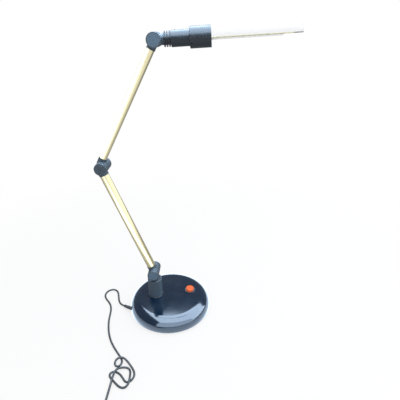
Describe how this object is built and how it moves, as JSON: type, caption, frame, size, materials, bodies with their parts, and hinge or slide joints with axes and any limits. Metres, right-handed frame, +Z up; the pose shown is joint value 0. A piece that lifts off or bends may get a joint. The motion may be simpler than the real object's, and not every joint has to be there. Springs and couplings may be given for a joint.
{
  "type": "articulated desk lamp",
  "caption": "Desk lamp with a weighted round base, turning post, jointed tube arms and a tilting head with a half-round reflector over a compact fluorescent lamp.",
  "frame": {"origin": "centre of the base's felt underside, on the table", "axes": "+Z up, +X to the side that the head points to at rest, +Y to the back"},
  "size_m": [0.4429, 0.4946, 0.6567],
  "materials": {
    "gloss_black": "polished black moulding",
    "tray_steel": "black powder coat",
    "felt": "black felt",
    "weight_iron": "plain cut plate",
    "steel": "zinc plated",
    "ring_metal": "satin",
    "button_red": "satin orange red moulding",
    "bezel_grey": "dark grey moulding",
    "inner_plastic": "plain moulding",
    "cream_plastic": "plain moulding",
    "choke_iron": "varnished laminations",
    "copper": "enamelled wire",
    "joint_black": "fine satin black moulding",
    "washer_fibre": "friction fibre",
    "head_black": "satin black moulding",
    "arm_gold": "polished pale champagne",
    "wire_grey": "sheathed lead",
    "lamp_white": "white moulding",
    "lamp_glass": "phosphor white glass",
    "reflector_white": "gloss white",
    "cord_grey": "smooth sheath",
    "plug_grey": "moulded on",
    "pin_metal": "nickel plated",
    "tie_black": "soft band"
  },
  "bodies": {
    "base": {"base_cover": "gloss_black", "base_tray": "tray_steel", "tray_screws": "steel", "felt_pad": "felt", "ballast_weight": "weight_iron", "foot_ring": "ring_metal", "swivel_spindle": "steel", "spindle_nut": "steel", "spindle_clip": "steel", "button_bezel": "bezel_grey", "switch_body": "inner_plastic", "choke_core": "choke_iron", "choke_winding": "copper", "terminal_block": "cream_plastic", "cord_gland": "cord_grey", "cord_free": "cord_grey", "cord_coil": "cord_grey", "coil_tie": "tie_black", "plug_body": "plug_grey", "plug_pins": "pin_metal"},
    "button": {"push_button": "button_red"},
    "post": {"post_column": "joint_black", "post_knuckle": "joint_black", "foot_joint_rear_cap": "joint_black"},
    "lower_arm": {"lower_foot_knuckle": "joint_black", "lower_elbow_knuckle": "joint_black", "lower_tube": "arm_gold", "lower_wire": "wire_grey", "foot_joint_bolt": "steel", "foot_joint_washer": "washer_fibre", "foot_joint_nut": "steel", "foot_joint_front_cap": "joint_black", "elbow_joint_bolt": "steel", "elbow_joint_washer": "washer_fibre", "elbow_joint_nut": "steel", "elbow_joint_front_cap": "joint_black"},
    "upper_arm": {"upper_elbow_knuckle": "joint_black", "upper_head_knuckle": "joint_black", "upper_tube": "arm_gold", "upper_wire": "wire_grey", "elbow_joint_rear_cap": "joint_black", "head_joint_rear_cap": "joint_black"},
    "head": {"head_knuckle": "joint_black", "fin_collar": "head_black", "holder_body": "head_black", "collar_keeper": "steel", "lamp_socket": "cream_plastic", "lamp_cap": "lamp_white", "lamp_tubes": "lamp_glass", "head_joint_bolt": "steel", "head_joint_washer": "washer_fibre", "head_joint_nut": "steel", "head_joint_front_cap": "joint_black"},
    "shade": {"collar_top": "head_black", "collar_bottom": "head_black", "collar_screws": "steel", "reflector": "reflector_white"}
  },
  "joints": [
    {"name": "post_swivel", "type": "hinge", "parent": "base", "child": "post", "pos_m": [-0.036, 0, 0.037], "axis": [0, 0, 1], "range_deg": [-165, 165]},
    {"name": "foot_hinge", "type": "hinge", "parent": "post", "child": "lower_arm", "pos_m": [-0.036, 0, 0.10603], "axis": [0, 1, 0], "range_deg": [-35, 35]},
    {"name": "elbow_hinge", "type": "hinge", "parent": "lower_arm", "child": "upper_arm", "pos_m": [-0.12904, 0, 0.37918], "axis": [0, 1, 0], "range_deg": [-40, 40]},
    {"name": "head_hinge", "type": "hinge", "parent": "upper_arm", "child": "head", "pos_m": [-0.00261, 0, 0.6246], "axis": [0, 1, 0], "range_deg": [-50, 28]},
    {"name": "shade_turn", "type": "hinge", "parent": "head", "child": "shade", "pos_m": [-0.00261, 0, 0.6246], "axis": [0.9986, 0, 0.0523], "range_deg": [-120, 120]},
    {"name": "button_press", "type": "slide", "parent": "base", "child": "button", "axis": [0, 0, -1], "range_m": [0, 0.003], "stiffness_N_per_m": 300, "springref_m": -0.004}
  ]
}
